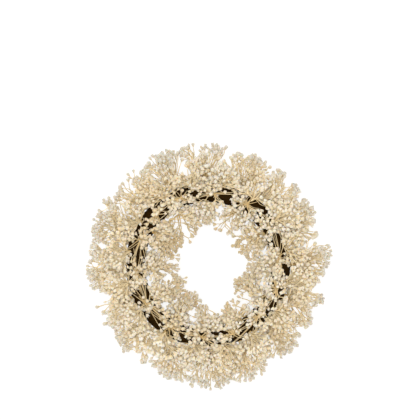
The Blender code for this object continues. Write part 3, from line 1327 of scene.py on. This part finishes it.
@dataclass(frozen=True)
class PetalFinish:
    """Dry papery petals over a straw-coloured cup.

    Args:
        cream: Usual colour of the petals.
        tan: Colour of the warm ones.
        cup: Colour of the cup round their foot.
        sheen: Colour of the bloom on their edges.
        glow_through: Share of the light that spreads inside the thin petals.
        depth: How far its red, green and blue parts spread, as shares of a reach.
        reach: That reach in metres.
    """

    cream: Colour = (0.97, 0.945, 0.885, 1.0)
    tan: Colour = (0.85, 0.70, 0.455, 1.0)
    cup: Colour = (0.90, 0.73, 0.39, 1.0)
    sheen: Colour = (1.0, 0.88, 0.68, 1.0)
    glow_through: float = 0.3
    depth: tuple[float, float, float] = (1.0, 0.72, 0.42)
    reach: float = 0.003
    name: str = "dried_petals"

    def make(self) -> bpy.types.Material:
        """The material."""
        material, wiring, shader = new_material(self.name)
        mottling = wiring.noise(700.0, 3.0)
        petal = wiring.blend(wiring.attribute("warmth"), self.cream, self.tan)
        cup_share = (1 - wiring.attribute("bud_along")) ** 2.2 * 1.25
        # The tint attribute holds each bud's own tone, plus painted shade at the wreath's edges and painted
        # light over the ring.
        level = 0.88 + wiring.attribute("tint") * 0.16 + mottling * 0.07
        wiring.feed(shader, {
            "Base Color": wiring.brighter(wiring.blend(cup_share, petal, self.cup), level),
            "Roughness": 0.62 + mottling * 0.2,
            "Diffuse Roughness": 1.0,
            "Specular IOR Level": 0.15,
            "Sheen Weight": 0.7,
            "Sheen Roughness": 0.5,
            "Sheen Tint": self.sheen,
            "Subsurface Weight": self.glow_through,
            "Subsurface Radius": self.depth,
            "Subsurface Scale": self.reach,
            "Normal": wiring.bumps(mottling, 0.35, 0.0004),
        })
        return material


@dataclass(frozen=True)
class StemFinish:
    """Dry stalks, olive brown at the foot and pale straw under the buds.

    Args:
        foot: Colour at the foot.
        straw: Colour under the buds.
    """

    foot: Colour = (0.76, 0.56, 0.23, 1.0)
    straw: Colour = (0.79, 0.68, 0.46, 1.0)
    name: str = "dried_stems"

    def make(self) -> bpy.types.Material:
        """The material."""
        material, wiring, shader = new_material(self.name)
        grain = wiring.noise(420.0, 2.0)
        colour = wiring.blend(wiring.attribute("stem_along"), self.foot, self.straw)
        level = 0.82 + wiring.attribute("stem_tint") * 0.25 + grain * 0.2
        wiring.feed(shader, {
            "Base Color": wiring.brighter(colour, level),
            "Roughness": 0.7,
            "Diffuse Roughness": 1.0,
            "Specular IOR Level": 0.2,
            "Normal": wiring.bumps(grain, 0.4, 0.0003),
        })
        return material


@dataclass(frozen=True)
class TapeFinish:
    """Dark florist's tape, wound tight and slightly waxy.

    Args:
        dark: Colour in the folds.
        worn: Colour where it is rubbed.
    """

    dark: Colour = (0.010, 0.004, 0.001, 1.0)
    worn: Colour = (0.056, 0.027, 0.004, 1.0)
    name: str = "ring_tape"

    def make(self) -> bpy.types.Material:
        """The material."""
        material, wiring, shader = new_material(self.name)
        crepe = wiring.noise(900.0, 4.0)
        patches = wiring.noise(60.0, 2.0)
        wiring.feed(shader, {
            "Base Color": wiring.blend(patches * 0.6 + crepe * 0.4, self.dark, self.worn),
            "Roughness": 0.6 + patches * 0.3,
            "Specular IOR Level": 0.05,
            "Normal": wiring.bumps(crepe, 0.5, 0.0005),
        })
        return material


@dataclass(frozen=True)
class FloorFinish:
    """A white studio floor that glows a little, so that gaps between the flowers stay white.

    Args:
        paint: Its colour, a grey that the light and the glow together make white.
        light: Colour of the glow.
        glow: Strength of the glow.
    """

    paint: Colour = (0.30, 0.30, 0.30, 1.0)
    light: Colour = (1.0, 1.0, 1.0, 1.0)
    glow: float = 0.78
    name: str = "studio_floor"

    def make(self) -> bpy.types.Material:
        """The material."""
        material, wiring, shader = new_material(self.name)
        wiring.feed(shader, {
            "Base Color": self.paint,
            "Roughness": 0.9,
            "Emission Color": self.light,
            "Emission Strength": self.glow,
        })
        return material


@dataclass
class SprayTree:
    """The Geometry Nodes tree that turns a skeleton into stems and buds.

    Args:
        sides: Sides of a stem.
        seed: Seed of the buds' turns about their own stalks.
    """

    sides: int = 4
    seed: int = 3
    tree: bpy.types.NodeTree | None = None

    def build(self) -> None:
        """Builds the tree."""
        self.tree = bpy.data.node_groups.new("spray_of_buds", "GeometryNodeTree")
        interface = self.tree.interface
        interface.new_socket("Skeleton", in_out="INPUT", socket_type="NodeSocketGeometry")
        for name, kind in (
            ("Bud Shapes", "Collection"),
            ("Stem Sides", "Int"),
            ("Seed", "Int"),
            ("Stem Material", "Material"),
            ("Petal Material", "Material"),
        ):
            interface.new_socket(name, in_out="INPUT", socket_type=f"NodeSocket{kind}")
        interface.new_socket("Spray", in_out="OUTPUT", socket_type="NodeSocketGeometry")
        wiring = Wiring(self.tree)
        given = wiring.add("NodeGroupInput").outputs
        stems = self.stems(wiring, given)
        buds = self.buds(wiring, given)
        joined = wiring.add("GeometryNodeJoinGeometry")
        self.tree.links.new(stems, joined.inputs[0])
        self.tree.links.new(buds, joined.inputs[0])
        real = wiring.add("GeometryNodeRealizeInstances", None, {"Geometry": joined.outputs[0]})
        stalk = wiring.add(
            "GeometryNodeSetMaterial", None, {"Geometry": real.outputs[0], "Material": given["Stem Material"]}
        )
        size = self.named(wiring, "size", "FLOAT")
        is_bud = wiring.add("FunctionNodeCompare", {"operation": "GREATER_THAN"}, {0: size, 1: 0.0})
        petals = wiring.add(
            "GeometryNodeSetMaterial",
            None,
            {
                "Geometry": stalk.outputs[0],
                "Selection": is_bud.outputs[0],
                "Material": given["Petal Material"],
            },
        )
        wiring.add("NodeGroupOutput", None, {0: petals.outputs[0]})

    @staticmethod
    def named(wiring: Wiring, name: str, kind: str) -> bpy.types.NodeSocket:
        """A value that the skeleton's points carry."""
        node = wiring.add("GeometryNodeInputNamedAttribute", {"data_type": kind}, {"Name": name})
        return node.outputs["Attribute"]

    def stems(self, wiring: Wiring, given: bpy.types.NodeOutputs) -> bpy.types.NodeSocket:
        """The stems as thin tubes along the skeleton's edges."""
        curve = wiring.add("GeometryNodeMeshToCurve", None, {"Mesh": given["Skeleton"]})
        round_feeds = {"Resolution": given["Stem Sides"], "Radius": 1.0}
        circle = wiring.add("GeometryNodeCurvePrimitiveCircle", None, round_feeds)
        tube = wiring.add(
            "GeometryNodeCurveToMesh",
            None,
            {
                "Curve": curve.outputs[0],
                "Profile Curve": circle.outputs[0],
                "Scale": self.named(wiring, "thick", "FLOAT"),
                "Fill Caps": True,
            },
        )
        marked = wiring.add(
            "GeometryNodeStoreNamedAttribute",
            {"data_type": "FLOAT", "domain": "POINT"},
            {"Geometry": tube.outputs[0], "Name": "size", "Value": 0.0},
        )
        return marked.outputs[0]

    def buds(self, wiring: Wiring, given: bpy.types.NodeOutputs) -> bpy.types.NodeSocket:
        """A bud on each marked point, pointing along its axis."""
        shapes = wiring.add(
            "GeometryNodeCollectionInfo",
            None,
            {"Collection": given["Bud Shapes"], "Separate Children": True, "Reset Children": True},
        )
        kind = self.named(wiring, "kind", "INT")
        marked = wiring.add(
            "FunctionNodeCompare", {"data_type": "INT", "operation": "GREATER_EQUAL"}, {2: kind, 3: 0}
        )
        aimed = wiring.add(
            "FunctionNodeAlignRotationToVector",
            {"axis": "Z"},
            {"Vector": self.named(wiring, "axis", "FLOAT_VECTOR")},
        )
        turn = wiring.add(
            "FunctionNodeRandomValue",
            {"data_type": "FLOAT"},
            {2: 0.0, 3: 2 * math.pi, "Seed": given["Seed"]},
        )
        spin = {"Axis": (0, 0, 1), "Angle": turn.outputs[1]}
        spun = wiring.add("FunctionNodeAxisAngleToRotation", None, spin)
        rotation = wiring.add(
            "FunctionNodeRotateRotation",
            {"rotation_space": "LOCAL"},
            {"Rotation": aimed.outputs[0], "Rotate By": spun.outputs[0]},
        )
        placed = wiring.add(
            "GeometryNodeInstanceOnPoints",
            None,
            {
                "Points": given["Skeleton"],
                "Selection": marked.outputs[0],
                "Instance": shapes.outputs[0],
                "Pick Instance": True,
                "Instance Index": kind,
                "Rotation": rotation.outputs[0],
                "Scale": self.named(wiring, "size", "FLOAT"),
            },
        )
        return placed.outputs[0]

    def dress(
        self,
        skeleton: bpy.types.Object,
        name: str,
        shapes: bpy.types.Collection,
        stem: bpy.types.Material,
        petal: bpy.types.Material,
    ) -> bpy.types.Object:
        """Turns a skeleton into a finished spray.

        Args:
            skeleton: The skeleton's object, which is used up.
            name: The spray's name.
            shapes: Collection of the bud shapes, in the order of their kinds.
            stem: Material of the stems.
            petal: Material of the buds.

        Returns:
            The spray as a plain mesh.
        """
        modifier = skeleton.modifiers.new("spray", "NODES")
        modifier.node_group = self.tree
        values = {
            "Bud Shapes": shapes,
            "Stem Sides": self.sides,
            "Seed": self.seed,
            "Stem Material": stem,
            "Petal Material": petal,
        }
        for item in self.tree.interface.items_tree:
            if item.name in values:
                modifier[item.identifier] = values[item.name]
        graph = bpy.context.evaluated_depsgraph_get()
        mesh = bpy.data.meshes.new_from_object(skeleton.evaluated_get(graph))
        mesh.name = name
        skeleton.modifiers.remove(modifier)
        bpy.data.objects.remove(skeleton)
        for key in ("axis", "kind", "thick"):
            if key in mesh.attributes:
                mesh.attributes.remove(mesh.attributes[key])
        return in_scene(name, mesh)


@dataclass(frozen=True)
class WoundRing:
    """The base ring under its dark tape, which is wound round it in overlapping turns.

    Args:
        winds: Turns of tape round the ring.
        columns: Where the mesh is divided across one wind, as shares of it, up to the edge of the tape.
        around: Faces round the tube.
        fold: Height of a tape edge over the wind below, in metres.
        folds: Least and greatest height of one edge, as shares of that.
        slip: How far a wind may lie beside its place, as a share of a wind.
        seed: Seed of the uneven winding.
    """

    winds: int = 46
    columns: tuple[float, ...] = (0.0, 0.04, 0.3, 0.6, 0.85, 0.985)
    around: int = 36
    fold: float = 0.0007
    folds: tuple[float, float] = (0.6, 1.1)
    slip: float = 0.06
    seed: int = 8

    def place(self, phase: float, share: float, lift: float) -> Vector:
        """A point of the tape.

        Args:
            phase: Winds along the ring.
            share: Share of the way round the tube.
            lift: Metres over the tape's inner radius.

        Returns:
            The point, never lower than the flat back.
        """
        turn = 2 * math.pi * (phase - share) / self.winds
        point = tube_point(turn, 2 * math.pi * share, TUBE_RADIUS - self.fold + lift)
        point.z = max(point.z, 0.0)
        return point

    def make(self) -> bpy.types.Object:
        """The ring as a closed mesh."""
        draw = random.Random(self.seed)
        bm = bmesh.new()
        grid = []
        for wind in range(self.winds):
            height = self.fold * draw.uniform(*self.folds)
            slip = draw.uniform(-self.slip, self.slip)
            for column in self.columns:
                lift = height * column / self.columns[-1]
                phase = wind + column + slip
                ring = [self.place(phase, step / self.around, lift) for step in range(self.around)]
                grid.append([bm.verts.new(point) for point in ring])
        count = len(grid)
        per_wind = len(self.columns)
        for column in range(count):
            after = (column + 1) % count
            for step in range(self.around):
                if step + 1 < self.around:
                    ends = (grid[after][step + 1], grid[column][step + 1])
                else:
                    ends = (grid[(after - per_wind) % count][0], grid[(column - per_wind) % count][0])
                bm.faces.new((grid[column][step], grid[after][step], *ends))
        bmesh.ops.recalc_face_normals(bm, faces=bm.faces)
        return in_scene("wound_ring", mesh_of(bm, "wound_ring"))


@dataclass(frozen=True)
class Studio:
    """A white floor that curves up far away, under soft light, with the camera straight above.

    Args:
        height: The camera's height over the flowers' middle, in metres.
        flowers: Height at which the photograph's scale holds, in metres.
        sky: Strength of the light from all round.
        sky_colour: Its colour, warmed by the room.
        key: Watts of the soft light above.
        key_width: Its width in metres.
        key_place: Where it hangs.
        sweep: Distance from the middle and height of the floor's rings, in metres.
        sides: Sides of each ring.
    """

    height: float = 2.4
    flowers: float = 0.035
    sky: float = 0.40
    sky_colour: Colour = (1.0, 0.95, 0.85, 1.0)
    key: float = 28.0
    key_width: float = 0.8
    key_place: tuple[float, float, float] = (-0.08, 0.13, 2.3)
    sweep: tuple[tuple[float, float], ...] = (
        (2.2, 0.0), (2.6, 0.06), (2.95, 0.22), (3.2, 0.46), (3.36, 0.8), (3.42, 1.2), (3.44, 1.7)
    )
    sides: int = 64

    def floor(self) -> None:
        """Lays the floor."""
        bm = bmesh.new()
        rings = []
        for out, level in self.sweep:
            turns = [2 * math.pi * side / self.sides for side in range(self.sides)]
            places = [(out * math.cos(turn), out * math.sin(turn), level) for turn in turns]
            rings.append([bm.verts.new(place) for place in places])
        bm.faces.new(rings[0])
        for lower, upper in zip(rings, rings[1:]):
            for side in range(self.sides):
                after = (side + 1) % self.sides
                bm.faces.new((lower[side], lower[after], upper[after], upper[side])).smooth = True
        bmesh.ops.recalc_face_normals(bm, faces=bm.faces)
        floor = in_scene("floor", mesh_of(bm, "floor"))
        floor.data.materials.append(FloorFinish().make())

    def lights(self) -> None:
        """Sets the sky and one large soft light."""
        world = bpy.data.worlds.new("studio")
        world.use_nodes = True
        background = world.node_tree.nodes["Background"]
        background.inputs["Color"].default_value = self.sky_colour
        background.inputs["Strength"].default_value = self.sky
        bpy.context.scene.world = world
        lamp = bpy.data.lights.new("key", "AREA")
        lamp.shape = "DISK"
        lamp.size = self.key_width
        lamp.energy = self.key
        light = in_scene("key", lamp)
        light.location = self.key_place
        light.rotation_euler = (-light.location).to_track_quat("-Z", "Y").to_euler()

    def camera(self) -> None:
        """Sets the camera, so that the wreath lands where the photograph has it."""
        data = bpy.data.cameras.new("camera")
        data.sensor_width = 36.0
        data.lens = data.sensor_width * self.height / (PHOTO_SIZE * METRES_PER_PIXEL)
        data.clip_end = 20.0
        camera = in_scene("camera", data)
        right = (PHOTO_SIZE / 2 - WREATH_MIDDLE[0]) * METRES_PER_PIXEL
        up = (WREATH_MIDDLE[1] - PHOTO_SIZE / 2) * METRES_PER_PIXEL
        camera.location = (right, up, self.flowers + self.height)
        bpy.context.scene.camera = camera

    def build(self) -> None:
        """Sets up the studio."""
        self.floor()
        self.lights()
        self.camera()
        bpy.context.scene.view_settings.view_transform = "Standard"


@dataclass
class Wreath:
    """The whole wreath: its wound ring and a spray for each bunch."""

    rows: tuple[Row, ...] = ROWS

    def piece(self, obj: bpy.types.Object, node: str) -> None:
        """Says which node a finished piece stands for, and reports it.

        Args:
            obj: The piece.
            node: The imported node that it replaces.
        """
        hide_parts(node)
        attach(obj, "root")
        LOG.info("%s stands for %s: %d faces", obj.name, node, len(obj.data.polygons))

    def ring(self) -> None:
        """Dresses the base ring."""
        ring = WoundRing().make()
        ring.data.materials.append(TapeFinish().make())
        self.piece(ring, "base_ring")

    def sprays(self) -> None:
        """Grows and dresses the sprays."""
        walls = random.Random(CELL_SEED)
        cells = [cell for row in self.rows for cell in cells_of(row, walls)]
        shapes = bpy.data.collections.new("bud_shapes")
        for shape in BUD_SHAPES:
            shapes.objects.link(shape.make())
        tree = SprayTree()
        tree.build()
        stem = StemFinish().make()
        petal = PetalFinish().make()
        sprayer = Sprayer(random.Random(GROWTH_SEED))
        sprays = [sprayer.grow(cell) for cell in cells]
        over_ring = [spray for spray in sprays if spray.cell.name.startswith("front")]
        sprayer.cover_ring(over_ring)
        sprayer.lace(over_ring)
        for spray in sprays:
            name = spray.cell.name.replace("bunch", "spray")
            skeleton = spray.skeleton.as_object(f"{name}_skeleton")
            dressed = tree.dress(skeleton, name, shapes, stem, petal)
            self.piece(dressed, spray.cell.name)
        for shape in list(shapes.objects):
            bpy.data.objects.remove(shape)
        bpy.data.collections.remove(shapes)

    def build(self) -> None:
        """Builds every piece."""
        self.ring()
        self.sprays()


def main() -> None:
    """Dresses the wreath."""
    logging.basicConfig(level=logging.INFO, format="%(message)s")
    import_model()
    Studio().build()
    Wreath().build()


if __name__ == "__main__":
    main()
